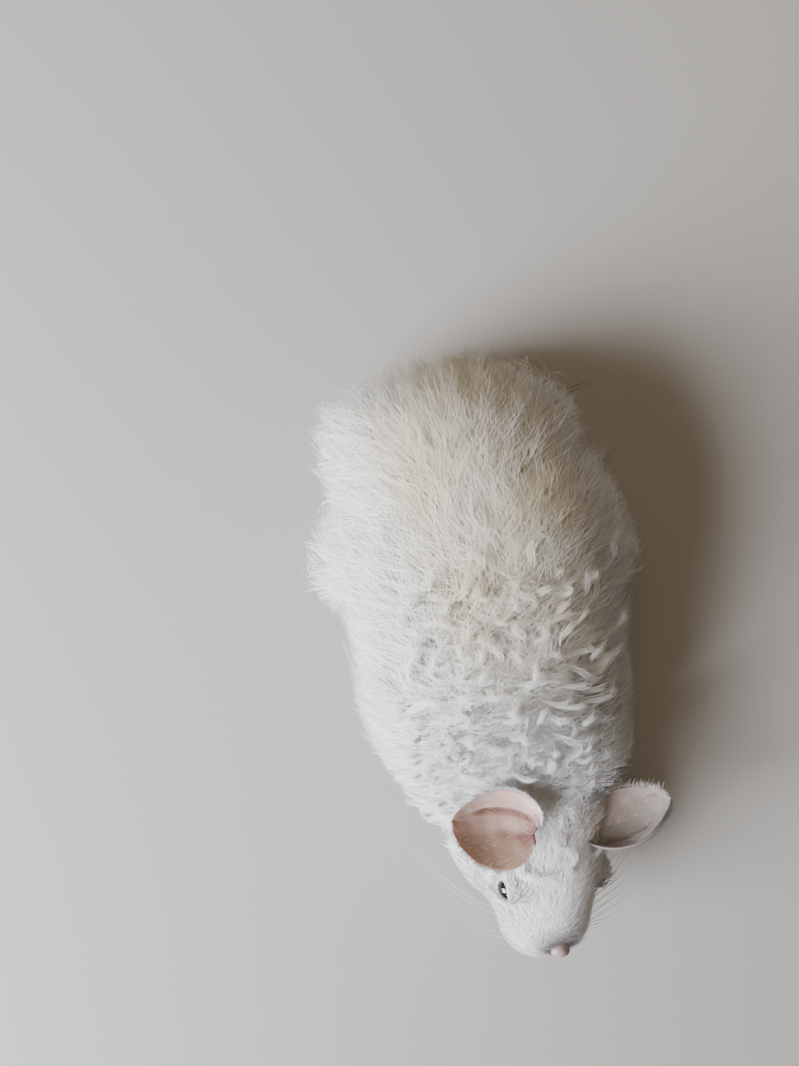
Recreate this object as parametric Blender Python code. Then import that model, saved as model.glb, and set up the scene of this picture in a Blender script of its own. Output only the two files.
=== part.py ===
"""A long-haired white Syrian hamster, life size, standing on its four feet as a still model.

It faces -Y, with +X its left side and +Z up. The floor is z = 0. Each part of the body is a closed
solid of its own, out to the tips of its coat, and thin cuts part one from the next.
All sizes below are in millimetres, and MM turns them to metres when a mesh is made.
"""

import math

import bmesh
import bpy
from mathutils import Matrix, Vector

MM = 0.001
ORIGIN = Vector((-0.1, 2.15, 0.0))  # the middle of the whole, on the floor, becomes the origin
GAP = 0.35  # the thin cut between two parts
SHARP_ANGLE = math.radians(50)

# Trunk, as outlines of the coat: (y, value) from the rump's tips forward to the throat.
BACK_LINE = ((66.5, 20), (65, 26), (61, 33.5), (54, 39.5), (44, 43.5), (30, 46), (14, 45.5), (0, 43),
             (-12, 37.5), (-22, 32.5), (-32, 27.5))
BELLY_LINE = ((66.5, 11), (65, 7), (61, 4), (54, 3.2), (30, 3.2), (0, 3.4), (-14, 4.4), (-24, 6.5), (-32, 10))
RIGHT_FLANK = ((66.5, -10), (65, -17), (61, -21.5), (53, -23.5), (43, -24), (33, -25.5), (18, -29.5), (4, -32),
               (-6, -32), (-15, -30), (-24, -27.4), (-32, -24.5))
LEFT_FLANK = ((66.5, 7), (65, 12.5), (61, 19), (53, 26.5), (43, 29.5), (30, 30.5), (18, 29.5), (8, 27.5), (0, 25),
              (-12, 23.5), (-24, 20.5), (-32, 17.5))
WIDEST_HEIGHT = 0.36  # of the trunk's height at each place
TRUNK_FULLNESS = (2.15, 2.5)  # powers of its superellipse above and below the widest line
TRUNK_SIDES = 36
TRUNK_RING_STEP = 3.2
RUMP_FRONT, LOIN_FRONT, CHEST_FRONT, NECK_FRONT = 37.0, 8.0, -19.0, -29.0

# Locks of the coat: shallow ridges that grow towards the rump's skirt.
LOCKS_AROUND = 11
LOCK_DEPTH_REAR, LOCK_DEPTH_FRONT = 1.3, 0.45
LOCK_ON_BACK = 0.35  # share of the depth that is left along the middle of the back
LOCK_LIMIT = 0.15  # share of the trunk's half size that a ridge may reach
LOCK_TURN = 0.085  # radians that a ridge drifts round for each mm along the trunk

# Head: its axis runs from between the ears to the tip of the nose.
HEAD_BACK = Vector((-2.0, -31.0, 17.6))
NOSE_TIP = Vector((-10.1, -60.9, 22.0))
HEAD_ROLL = math.radians(20)  # the crown leans to the left, so the right side is the higher
HEAD_LENGTH = (NOSE_TIP - HEAD_BACK).length
# (distance ahead of the ears, half width, rise above the axis, drop below it)
HEAD_SECTIONS = ((-11, 7, 6.5, 7), (-9, 12, 10, 11), (-4, 15.4, 12.0, 13.0), (2.5, 16.2, 12.9, 13.6),
                 (8.5, 15.7, 12.8, 14.0), (14.0, 13.9, 11.7, 13.2), (18.8, 12.1, 10.0, 11.6), (23.2, 10.9, 8.4, 9.8),
                 (26.8, 9.9, 6.9, 8.0), (29.2, 8.2, 5.5, 6.3), (30.9, 5.4, 3.7, 4.3), (31.8, 2.4, 1.7, 2.0))
CHEEK_DROP = 0.16  # of the half width: how far below the axis the head is widest
POUCH_SWELL, POUCH_AHEAD, POUCH_LENGTH = 4.6, 7.2, 13.0  # the fuller right cheek
POUCH_FADE = 1.5  # how fast it ends above the middle of the head, so that it stays under the eye
HEAD_FULLNESS = (1.85, 2.4)  # powers of its superellipse above and below the widest line
HEAD_SIDES = 24
HEAD_RING_STEP = 2.2
HEAD_RING_CROWDING = 0.9  # power that shares out the rings, which lie closer towards the nose
MOUTH_DROP = 3.6  # of the mouth below the axis at the nose
MOUTH_BACK = 21.0  # distance ahead of the ears where the mouth ends
MOUTH_SLOPE = math.radians(9)
MOUTH_REACH, MOUTH_OVERRUN = 20, 5  # half size of the cutter, and how far it passes the nose

EYE_RADIUS = 2.9
EYE_AHEAD, EYE_SIDE, EYE_RISE = 14.0, 10.0, 3.4
NOSE_SIZE = (2.1, 1.4, 1.6)  # half width, half length, half height
NOSE_SET = (-1.9, 3.7)  # from the head's tip: forward, up

EAR_LENGTH, EAR_WIDTH, EAR_WALL = 19.0, 17.6, 0.8
EAR_ROOT = 2.2  # half width of the folded root
EAR_CURL_ROOT, EAR_CURL_RIM = 0.9, 0.51  # half angle of the cup in radians: extra at the root, and at the tip
EAR_DISH = 1.6  # how far the middle sinks between root and tip
EAR_PETAL = (0.72, 0.62)  # powers of its outline: how far out it is widest, and how round
EAR_BLUNTNESS = 0.985  # share of the length where the tip's edge lies
EAR_STEPS = 8
# name, root ahead / side / rise in the head, bearing of the tip from ahead, lift of the tip, twist
EARS = (("ear_right", 0.3, -8.7, 12.8, 126, 19, 4), ("ear_left", 4.4, 4.9, 11.2, -112, 20, -82))

# Hind legs: each haunch swells the flank, and the thin cut round it is an egg of these half sizes.
HAUNCHES = (("hindleg_right", (-22.5, 33.0, 15.0), (15.0, 10.8, 14.0)),
            ("hindleg_left", (22.0, 19.0, 15.0), (15.0, 13.5, 14.0)))
HAUNCH_SWELL = {"hindleg_right": 8.0, "hindleg_left": 3.6}
HAUNCH_ROUNDING = 0.6  # power that rounds the swell off towards the edge of the haunch
HAUNCH_MARGIN = 3.0  # of trunk made past each end of the egg
TOE_RADIUS = 1.15
TOE_TAPER = 0.7
# Palm from heel to toes, as shares: of its length, of the foot's height, and half width of the foot's width
PALM = ((0.12, 0.42, 0.36), (0.5, 0.4, 0.42), (0.95, 0.3, 0.46))
# A toe's start and end, as shares: of the palm's length, of the width to the outer toe, of the height
TOE_START, TOE_END = (0.9, 0.36, 0.26), (0.9, 0.62, 0.2)
OUTER_TOE_BACK = 0.1  # share of the palm by which the outer toes start further back
TOE_REACH, OUTER_TOE_SHORTER = 1.2, 0.3  # reach of the middle toe, and what the outer ones lose
HINDFOOT = dict(length=17.5, width=6.4, height=4.2, toes=5, toe=4.4)
HINDFEET = (("hindfoot_right", (-20.5, 36.5), -8), ("hindfoot_left", (20.5, 24.0), 8))

# Forelegs: elbow and wrist centres, and the hand under each wrist.
FORELEGS = (("foreleg_right", (-13.5, -15.0, 15.0), (-14.5, -22.6, 5.4)),
            ("foreleg_left", (11.2, -4.4, 14.2), (12.5, -12.0, 5.4)))
ELBOW_RADIUS, WRIST_RADIUS = 5.4, 2.9
FOREFOOT = dict(length=9.5, width=5.6, height=3.4, toes=4, toe=3.6)
FOREFEET = (("forefoot_right", (-14.5, -20.8), -6), ("forefoot_left", (12.5, -10.2), 6))

TAIL_ROOT, TAIL_TIP = Vector((1.5, 52.0, 12.5)), Vector((2.0, 65.2, 5.4))
TAIL_RADII = (3.0, 2.6, 2.0, 1.2)

DOME_REACH, DOME_NARROWING = 0.75, 0.62  # of a limb's end, as shares of its radius

WHITE_COAT = (0.86, 0.84, 0.79)
PINK_SKIN = (0.72, 0.50, 0.44)
NOSE_PINK = (0.62, 0.45, 0.42)
DARK_EYE = (0.02, 0.015, 0.015)


def clear_scene():
    for obj in list(bpy.data.objects):
        bpy.data.objects.remove(obj, do_unlink=True)


def material(name, colour, roughness):
    made = bpy.data.materials.get(name)
    if made:
        return made
    made = bpy.data.materials.new(name)
    made.use_nodes = True
    shader = made.node_tree.nodes["Principled BSDF"]
    shader.inputs["Base Color"].default_value = (*colour, 1)
    shader.inputs["Roughness"].default_value = roughness
    shader.inputs["Metallic"].default_value = 0
    return made


def coat():
    return material("white_coat", WHITE_COAT, 0.9)


def bare_skin():
    return material("pink_skin", PINK_SKIN, 0.55)


def new_object(name, shape, finish):
    """An object from a bmesh whose points are in millimetres, with its faces turned outwards."""
    shape.normal_update()
    bmesh.ops.recalc_face_normals(shape, faces=shape.faces)
    bmesh.ops.translate(shape, vec=-ORIGIN, verts=shape.verts)
    bmesh.ops.scale(shape, vec=(MM, MM, MM), verts=shape.verts)
    mesh = bpy.data.meshes.new(name)
    shape.to_mesh(mesh)
    shape.free()
    mesh.materials.append(finish)
    mesh.shade_smooth()
    mesh.set_sharp_from_angle(angle=SHARP_ANGLE)
    obj = bpy.data.objects.new(name, mesh)
    bpy.context.scene.collection.objects.link(obj)
    return obj


def as_helper(obj):
    obj.hide_render = True
    obj.display_type = "WIRE"
    return obj


def boolean(obj, other, operation):
    """One cut or join. The exact solver opens the chest where several cuts meet, and this one doesn't."""
    step = obj.modifiers.new(f"{operation.lower()}_{other.name}", "BOOLEAN")
    step.operation = operation
    step.object = other
    step.solver = "MANIFOLD"


def grown(obj, by=GAP):
    """A cutter: the object's own mesh pushed out along its normals by the width of a thin cut."""
    mesh = obj.data.copy()
    copy = bpy.data.objects.new(f"{obj.name}_cutter", mesh)
    bpy.context.scene.collection.objects.link(copy)
    for vertex, normal in zip(mesh.vertices, [n.vector.copy() for n in obj.data.vertex_normals]):
        vertex.co += normal * by * MM
    return as_helper(copy)


def along(profile, at):
    """The value of an outline at one place, on a smooth curve through its points."""
    points = sorted(profile)
    at = min(max(at, points[0][0]), points[-1][0])
    i = max(k for k in range(len(points) - 1) if points[k][0] <= at)
    (x1, v1), (x2, v2) = points[i], points[i + 1]

    def slope(k):
        low, high = points[max(k - 1, 0)], points[min(k + 1, len(points) - 1)]
        return (high[1] - low[1]) / (high[0] - low[0])

    width = x2 - x1
    t = (at - x1) / width
    return ((2 * t**3 - 3 * t**2 + 1) * v1 + (t**3 - 2 * t**2 + t) * width * slope(i)
            + (3 * t**2 - 2 * t**3) * v2 + (t**3 - t**2) * width * slope(i + 1))


def loft(rings):
    """A closed skin over rings of equal count, with a fan over each end."""
    shape = bmesh.new()
    rows = [[shape.verts.new(point) for point in ring] for ring in rings]
    count = len(rows[0])
    for near, far in zip(rows, rows[1:]):
        for i in range(count):
            j = (i + 1) % count
            shape.faces.new((near[i], near[j], far[j], far[i]))
    for row in (rows[0], rows[-1]):
        middle = shape.verts.new(sum((v.co for v in row), Vector()) / count)
        for i in range(count):
            shape.faces.new((row[i], row[(i + 1) % count], middle))
    return shape


def rounded(angle, power):
    """A point of a superellipse of half sizes 1."""
    c, s = math.cos(angle), math.sin(angle)
    return math.copysign(abs(c) ** (2 / power), c), math.copysign(abs(s) ** (2 / power), s)


def haunch_swell(point):
    """How far a haunch pushes the flank outwards at a place."""
    push = 0.0
    for name, centre, halves in HAUNCHES:
        if centre[0] * point.x < 0:
            continue
        near = 1 - sum(((point[k] - centre[k]) / halves[k]) ** 2 for k in (1, 2))
        push += math.copysign(HAUNCH_SWELL[name] * max(near, 0) ** HAUNCH_ROUNDING, point.x)
    return push


def trunk_ring(y):
    """One upright section of the trunk's coat, with the ridges of its locks."""
    right, left = along(RIGHT_FLANK, y), along(LEFT_FLANK, y)
    top, bottom = along(BACK_LINE, y), along(BELLY_LINE, y)
    middle, half = (left + right) / 2, (left - right) / 2
    waist = bottom + (top - bottom) * WIDEST_HEIGHT
    rearward = min(max((y - CHEST_FRONT) / (BACK_LINE[0][0] - CHEST_FRONT), 0), 1)
    depth = LOCK_DEPTH_FRONT + (LOCK_DEPTH_REAR - LOCK_DEPTH_FRONT) * rearward**2
    ring = []
    for k in range(TRUNK_SIDES):
        angle = math.tau * k / TRUNK_SIDES
        across, up = rounded(angle, TRUNK_FULLNESS[angle >= math.pi])
        ridge = depth * math.sin(LOCKS_AROUND * angle + LOCK_TURN * LOCKS_AROUND * y)
        ridge *= LOCK_ON_BACK + (1 - LOCK_ON_BACK) * abs(across)
        rise = (top - waist) if up > 0 else (waist - bottom)
        reach = Vector((across * half, 0, up * rise))
        out = reach.normalized() * min(ridge, LOCK_LIMIT * reach.length)
        point = Vector((middle, y, waist)) + reach + out
        point.x += haunch_swell(point)
        ring.append(point)
    return ring


def trunk_part(name, rear, front):
    count = max(2, round((rear - front) / TRUNK_RING_STEP))
    stations = [rear + (front - rear) * k / count for k in range(count + 1)]
    return new_object(name, loft([trunk_ring(y) for y in stations]), coat())


def make_haunch(name, centre, halves):
    """The part of the trunk's own form that lies inside the haunch's egg."""
    reach = halves[1] + HAUNCH_MARGIN
    haunch = trunk_part(name, centre[1] + reach, centre[1] - reach)
    egg = ball(f"{name}_egg", Vector(centre), halves, coat(), steps=(20, 12))
    boolean(haunch, as_helper(egg), "INTERSECT")
    return haunch, grown(egg)


def head_frame():
    """The head's own axes as a matrix: X to its left, Y back from the nose, Z to the crown."""
    back = (HEAD_BACK - NOSE_TIP).normalized()
    left = back.cross(Vector((0, 0, 1))).normalized()
    crown = left.cross(back)
    turn = Matrix.Rotation(HEAD_ROLL, 3, back)
    return Matrix((turn @ left, back, turn @ crown)).transposed()


def in_head(ahead, side, rise):
    """A place in the head: ahead of the ears, to its left, above its axis."""
    return HEAD_BACK + head_frame() @ Vector((side, -ahead, rise))


def head_ring(ahead):
    halves, rises, drops = ([(row[0], row[k]) for row in HEAD_SECTIONS] for k in (1, 2, 3))
    half, rise, drop = along(halves, ahead), along(rises, ahead), along(drops, ahead)
    ring = []
    for k in range(HEAD_SIDES):
        angle = math.tau * k / HEAD_SIDES
        across, up = rounded(angle, HEAD_FULLNESS[angle >= math.pi])
        pouch = POUCH_SWELL * max(0, 1 - ((ahead - POUCH_AHEAD) / POUCH_LENGTH) ** 2) * max(0, -across) ** 2
        pouch *= max(0, 1 - POUCH_FADE * max(up, 0))
        line = -CHEEK_DROP * half
        height = line + up * (rise - line if up > 0 else drop + line)
        ring.append(in_head(ahead, across * half - pouch, height))
    return ring


def make_head():
    first, last = HEAD_SECTIONS[0][0], HEAD_SECTIONS[-1][0]
    count = round((last - first) / HEAD_RING_STEP)
    stations = [first + (last - first) * math.sin(math.pi / 2 * k / count) ** HEAD_RING_CROWDING
                for k in range(count + 1)]
    return new_object("head", loft([head_ring(s) for s in stations]), coat())


def box(name, low, high, placed):
    shape = bmesh.new()
    bmesh.ops.create_cube(shape, size=1)
    for vertex in shape.verts:
        vertex.co = placed(*(low[k] + (vertex.co[k] + 0.5) * (high[k] - low[k]) for k in range(3)))
    return as_helper(new_object(name, shape, coat()))


def mouth_box(name, lift):
    """All that lies below the line of the mouth, ahead of its corners."""
    def placed(ahead, side, rise):
        slope = math.tan(MOUTH_SLOPE) * (HEAD_LENGTH - ahead)
        return in_head(ahead, side, rise - MOUTH_DROP - slope + lift)
    return box(name, (MOUTH_BACK - lift, -MOUTH_REACH, -MOUTH_REACH), (HEAD_LENGTH + MOUTH_OVERRUN, MOUTH_REACH, 0),
               placed)


def split_jaw(head):
    """The lower jaw is the part of the head's form below the mouth."""
    jaw = bpy.data.objects.new("jaw", head.data.copy())
    bpy.context.scene.collection.objects.link(jaw)
    boolean(jaw, mouth_box("jaw_keeper", 0.0), "INTERSECT")
    boolean(head, mouth_box("mouth_cutter", GAP), "DIFFERENCE")
    return jaw


def ball(name, centre, halves, finish, frame=None, steps=(20, 12)):
    shape = bmesh.new()
    bmesh.ops.create_uvsphere(shape, u_segments=steps[0], v_segments=steps[1], radius=1)
    turn = frame or Matrix.Identity(3)
    for vertex in shape.verts:
        vertex.co = centre + turn @ Vector([vertex.co[k] * halves[k] for k in range(3)])
    return new_object(name, shape, finish)


def capsule(name, spine, radii, finish, sides=12):
    """A limb: round sections along a short spine, with domed ends."""
    rings = []
    count = len(spine)
    for i, (centre, radius) in enumerate(zip(spine, radii)):
        ahead = (spine[min(i + 1, count - 1)] - spine[max(i - 1, 0)]).normalized()
        across = ahead.cross(Vector((1, 0, 0)) if abs(ahead.x) < 0.8 else Vector((0, 0, 1))).normalized()
        up = across.cross(ahead)
        dome = [(0.0, 1.0)]
        if i == 0:
            dome = [(-DOME_REACH, DOME_NARROWING), (0.0, 1.0)]
        elif i == count - 1:
            dome = [(0.0, 1.0), (DOME_REACH, DOME_NARROWING)]
        for shift, share in dome:
            turned = [math.tau * k / sides for k in range(sides)]
            rings.append([centre + ahead * shift * radius
                          + (across * math.cos(a) + up * math.sin(a)) * radius * share for a in turned])
    return new_object(name, loft(rings), finish)


def make_ear(name, ahead, side, rise, bearing, lift, twist):
    """A thin cupped petal on a short folded root, its hollow facing up and ahead."""
    turned, lifted = math.radians(bearing), math.radians(lift)
    tip = Vector((-math.sin(turned), -math.cos(turned), 0)) * math.cos(lifted)
    tip.z = math.sin(lifted)
    across = tip.cross(Vector((0, 0, 1))).normalized()
    up = across.cross(tip)
    spin = Matrix.Rotation(math.radians(twist), 3, tip)
    across, up = spin @ across, spin @ up
    root = in_head(ahead, side, rise)

    def surface(share, over, wall):
        """A point at a share of the ear's length, over from edge to edge (-1 to 1)."""
        breadth = EAR_WIDTH / 2 * math.sin(math.pi * share ** EAR_PETAL[0]) ** EAR_PETAL[1]
        breadth = max(breadth, EAR_ROOT * (1 - share) ** 0.5)
        curl = EAR_CURL_RIM + EAR_CURL_ROOT * (1 - share) ** 2
        bow = breadth / curl
        y = bow * math.sin(over * curl)
        z = bow * (1 - math.cos(over * curl)) - EAR_DISH * math.sin(math.pi * share)
        return root + tip * (EAR_LENGTH * share) + across * y + up * (z + wall)

    shape = bmesh.new()
    sheets = []
    for wall in (0.0, -EAR_WALL):
        rows = []
        for i in range(EAR_STEPS + 1):
            share = i / EAR_STEPS * EAR_BLUNTNESS
            rows.append([shape.verts.new(surface(share, -1 + 2 * j / EAR_STEPS, wall))
                         for j in range(EAR_STEPS + 1)])
        for i in range(EAR_STEPS):
            for j in range(EAR_STEPS):
                shape.faces.new((rows[i][j], rows[i + 1][j], rows[i + 1][j + 1], rows[i][j + 1]))
        sheets.append(rows)
    inner, outer = sheets
    rim = ([(0, j) for j in range(EAR_STEPS)] + [(i, EAR_STEPS) for i in range(EAR_STEPS)]
           + [(EAR_STEPS, j) for j in range(EAR_STEPS, 0, -1)] + [(i, 0) for i in range(EAR_STEPS, 0, -1)])
    for (i, j), (k, m) in zip(rim, rim[1:] + rim[:1]):
        shape.faces.new((inner[i][j], inner[k][m], outer[k][m], outer[i][j]))
    return new_object(name, shape, bare_skin())


def make_foot(name, place, turned, size):
    """A bare foot with short toes spread at its front, flat under the sole. It returns its cutter."""
    heading = Matrix.Rotation(math.radians(turned), 3, "Z")
    length, width, height = size["length"], size["width"], size["height"]
    palm = length - size["toe"]
    heel = Vector((place[0], place[1], 0))

    def at(back, side, up):
        return heel + heading @ Vector((side, -back, up))

    spine = [at(palm * along_it, 0, height * up) for along_it, up, _ in PALM]
    foot = capsule(name, spine, [width * half for _, _, half in PALM], bare_skin())
    cutter = grown(foot)
    for k in range(size["toes"]):
        share = k / (size["toes"] - 1) * 2 - 1
        start = at(palm * (TOE_START[0] - OUTER_TOE_BACK * abs(share)), share * width * TOE_START[1],
                   height * TOE_START[2])
        reach = size["toe"] * (TOE_REACH - OUTER_TOE_SHORTER * share * share)
        end = at(palm * TOE_END[0] + reach, share * width * TOE_END[1], height * TOE_END[2])
        toe = capsule(f"{name}_toe_{k}", [start, end], [TOE_RADIUS, TOE_TAPER * TOE_RADIUS], bare_skin(), sides=6)
        boolean(foot, as_helper(toe), "UNION")
    boolean(foot, FLOOR, "DIFFERENCE")
    return cutter


def make_tail():
    steps = len(TAIL_RADII) - 1
    spine = [TAIL_ROOT.lerp(TAIL_TIP, k / steps) for k in range(steps + 1)]
    return capsule("tail", spine, TAIL_RADII, bare_skin(), sides=10)


clear_scene()
FLOOR = box("floor_cutter", (-60, -90, -20), (60, 90, 0), lambda x, y, z: Vector((x, y, z)))

rump = trunk_part("rump", BACK_LINE[0][0], RUMP_FRONT + GAP / 2)
loin = trunk_part("loin", RUMP_FRONT - GAP / 2, LOIN_FRONT + GAP / 2)
chest = trunk_part("chest", LOIN_FRONT - GAP / 2, CHEST_FRONT + GAP / 2)
neck = trunk_part("neck", CHEST_FRONT - GAP / 2, NECK_FRONT)

head = make_head()
head_cutter = grown(head)
for part in (neck, chest):
    boolean(part, head_cutter, "DIFFERENCE")
jaw = split_jaw(head)

nose_place = in_head(HEAD_LENGTH + NOSE_SET[0], 0, NOSE_SET[1])
nose_finish = material("nose_leather", NOSE_PINK, 0.45)
nose = ball("nose", nose_place, NOSE_SIZE, nose_finish, head_frame(), steps=(12, 8))
boolean(head, grown(nose), "DIFFERENCE")

for side, name in ((-1, "eye_right"), (1, "eye_left")):
    eye_finish = material("dark_eye", DARK_EYE, 0.08)
    eye_place = in_head(EYE_AHEAD, side * EYE_SIDE, EYE_RISE)
    eye = ball(name, eye_place, (EYE_RADIUS,) * 3, eye_finish, steps=(14, 9))
    boolean(head, grown(eye), "DIFFERENCE")

ear_blockers = (head_cutter, grown(neck), grown(chest))
for ear_row in EARS:
    ear = make_ear(*ear_row)
    for blocker in ear_blockers:
        boolean(ear, blocker, "DIFFERENCE")

haunches, arms = [], []
for name, centre, halves in HAUNCHES:
    haunch, cutter = make_haunch(name, centre, halves)
    for part in (rump, loin, chest):
        boolean(part, cutter, "DIFFERENCE")
    haunches.append(haunch)
for name, elbow, wrist in FORELEGS:
    spine = [Vector(elbow), Vector(elbow).lerp(Vector(wrist), 0.5), Vector(wrist)]
    radii = [ELBOW_RADIUS, (ELBOW_RADIUS + WRIST_RADIUS) / 2, WRIST_RADIUS]
    arm = capsule(name, spine, radii, coat(), sides=14)
    boolean(chest, grown(arm), "DIFFERENCE")
    arms.append(arm)
boolean(neck, grown(arms[0]), "DIFFERENCE")
boolean(arms[0], head_cutter, "DIFFERENCE")
for haunch, (name, place, turned) in zip(haunches, HINDFEET):
    cutter = make_foot(name, place, turned, HINDFOOT)
    boolean(loin, cutter, "DIFFERENCE")
    boolean(haunch, cutter, "DIFFERENCE")
for arm, (name, place, turned) in zip(arms, FOREFEET):
    boolean(arm, make_foot(name, place, turned, FOREFOOT), "DIFFERENCE")

tail = make_tail()
boolean(rump, grown(tail), "DIFFERENCE")
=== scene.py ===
import functools
import math

import bpy
import numpy as np
from mathutils import Matrix, Vector
from mathutils.bvhtree import BVHTree


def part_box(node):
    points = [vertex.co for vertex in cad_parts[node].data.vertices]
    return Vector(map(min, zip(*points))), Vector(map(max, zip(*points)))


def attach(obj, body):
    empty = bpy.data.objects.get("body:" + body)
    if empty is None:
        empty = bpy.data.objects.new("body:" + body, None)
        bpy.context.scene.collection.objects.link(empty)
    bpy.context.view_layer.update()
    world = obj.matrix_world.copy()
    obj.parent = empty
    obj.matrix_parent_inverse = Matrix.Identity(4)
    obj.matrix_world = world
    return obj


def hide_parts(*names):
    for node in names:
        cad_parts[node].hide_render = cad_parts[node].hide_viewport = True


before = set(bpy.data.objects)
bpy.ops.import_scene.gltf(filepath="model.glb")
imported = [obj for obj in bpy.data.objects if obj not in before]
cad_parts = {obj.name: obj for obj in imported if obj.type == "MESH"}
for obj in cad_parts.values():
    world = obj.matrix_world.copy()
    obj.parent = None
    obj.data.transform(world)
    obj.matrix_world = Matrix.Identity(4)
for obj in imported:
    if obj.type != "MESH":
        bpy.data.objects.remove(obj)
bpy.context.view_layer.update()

# -------------------- skin
# The skin of the whole body in one closed piece: trunk, head, jaw, legs, feet and tail. It starts
# from the solids, whose thin cuts are closed, and sinks under them by the depth of the coat.
MM = 0.001
SKIN_CELL = 0.6 * MM
CLOSE_CUTS, WELD = 0.3 * MM, 0.01 * MM
HEAD_BACK = Vector((-1.9, -33.15, 17.6))  # between the ears, in millimetres
NOSE_TIP = Vector((-10.0, -63.05, 22.0))
HEAD_ROLL = math.radians(20)
HEAD_LENGTH = (NOSE_TIP - HEAD_BACK).length
FOOT = ["forefoot_left", "forefoot_right", "hindfoot_left", "hindfoot_right"]
FLESH = ["rump", "loin", "chest", "neck", "head", "jaw", "tail", "hindleg_left", "hindleg_right",
         "foreleg_left", "foreleg_right"] + FOOT
# Coat depth, length of a hair along the body and half width of a tuft, in mm, and tufts for each mm2.
COAT = {"rump": (9.5, 11.0, 0.085, 5.6), "loin": (6.6, 10.0, 0.08, 5.4), "chest": (5.0, 8.0, 0.08, 5.2),
        "neck": (3.8, 6.0, 0.08, 5.4), "head": (1.15, 3.2, 0.075, 5.6), "jaw": (0.8, 2.2, 0.07, 5.0),
        "tail": (0.5, 1.8, 0.05, 3.0), "hindleg_left": (5.5, 8.0, 0.08, 5.4),
        "hindleg_right": (6.0, 9.0, 0.08, 5.6), "foreleg_left": (1.6, 3.4, 0.08, 4.0),
        "foreleg_right": (1.6, 3.4, 0.08, 4.0)}
COAT.update({name: (0.1, 0.9, 0.05, 2.6) for name in FOOT})


def linear(colour):
    """An sRGB hex colour as the linear values a shader takes."""
    shares = [int(colour[k:k + 2], 16) / 255 for k in (1, 3, 5)]
    return (*(c / 12.92 if c <= 0.04045 else ((c + 0.055) / 1.055) ** 2.4 for c in shares), 1)


def plug(node, sockets):
    """Gives each named socket of a node a value, or a link from another node's output."""
    for key, value in sockets.items():
        if isinstance(value, bpy.types.NodeSocket):
            node.id_data.links.new(value, node.inputs[key])
        else:
            node.inputs[key].default_value = value


def add_node(tree, kind, sockets, **settings):
    """Adds one node with its settings and links."""
    made = tree.nodes.new("ShaderNode" + kind)
    for key, value in settings.items():
        setattr(made, key, value)
    plug(made, sockets)
    return made


def principled(name, **sockets):
    """A new material: itself, what adds a node to it, its shader, and the place on the piece."""
    made = bpy.data.materials.new(name)
    made.use_nodes = True
    tree = made.node_tree
    shader = tree.nodes["Principled BSDF"]
    plug(shader, {key.replace("_", " "): value for key, value in sockets.items()})
    add = functools.partial(add_node, tree)
    return made, add, shader, add("TexCoord", {}).outputs["Object"]


def select_only(*objects):
    bpy.ops.object.select_all(action="DESELECT")
    for obj in objects:
        obj.select_set(True)
    bpy.context.view_layer.objects.active = objects[0]


def edit_all(piece, operator, **options):
    """Runs one mesh operator on the whole of a piece, in edit mode."""
    select_only(piece)
    bpy.ops.object.mode_set(mode="EDIT")
    bpy.ops.mesh.select_all(action="SELECT")
    operator(**options)
    bpy.ops.object.mode_set(mode="OBJECT")


def in_head(ahead, side, rise):
    """A place in the head, in mm: ahead of the ears, to its left, above the axis to the nose."""
    back = (HEAD_BACK - NOSE_TIP).normalized()
    left = back.cross(Vector((0, 0, 1))).normalized()
    turn = Matrix.Rotation(HEAD_ROLL, 3, back)
    return HEAD_BACK + turn @ left * side - back * ahead + turn @ left.cross(back) * rise


def head_axes():
    """Left, back and crown of the head as rows, for turning many points into its own axes."""
    origin = in_head(0, 0, 0)
    return np.array([in_head(0, 1, 0) - origin, in_head(-1, 0, 0) - origin, in_head(0, 0, 1) - origin])


def mesh_arrays(obj):
    """Points in mm, smooth normals and edges of a mesh."""
    mesh = obj.data
    points = np.empty(len(mesh.vertices) * 3)
    mesh.vertices.foreach_get("co", points)
    normals = np.empty(len(mesh.vertices) * 3)
    mesh.vertex_normals.foreach_get("vector", normals)
    edges = np.empty(len(mesh.edges) * 2, int)
    mesh.edges.foreach_get("vertices", edges)
    return points.reshape(-1, 3) / MM, normals.reshape(-1, 3), edges.reshape(-1, 2)


def even_out(values, edges, rounds, share=0.5):
    """Values at the points of a mesh, each moved towards the mean of its neighbours."""
    count = len(values)
    ends = np.concatenate([edges, edges[:, ::-1]])
    degree = np.maximum(np.bincount(ends[:, 0], minlength=count), 1)
    flat = values.reshape(count, -1)
    for _ in range(rounds):
        sums = [np.bincount(ends[:, 0], flat[ends[:, 1], k], count) for k in range(flat.shape[1])]
        flat = flat + share * (np.stack(sums, 1) / degree[:, None] - flat)
    return flat.reshape(values.shape)


def unit(vectors):
    return vectors / np.maximum(np.linalg.norm(vectors, axis=-1, keepdims=True), 1e-9)


def ramp(values, low, high):
    """0 below low, 1 above high, and a smooth rise between."""
    t = np.clip((values - low) / (high - low), 0, 1)
    return t * t * (3 - 2 * t)


def set_points(obj, points):
    obj.data.vertices.foreach_set("co", (points * MM).ravel())
    obj.data.update()


# The solids, once more, for telling which part of the body a place belongs to.
corners, owners = [], []
for owner, name in enumerate(FLESH):
    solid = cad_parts[name].data
    solid.calc_loop_triangles()
    for triangle in solid.loop_triangles:
        corners += [solid.vertices[k].co.copy() for k in triangle.vertices]
        owners.append(owner)
faces = np.arange(len(corners)).reshape(-1, 3).tolist()
solids = BVHTree.FromPolygons(corners, faces, all_triangles=True)

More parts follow.
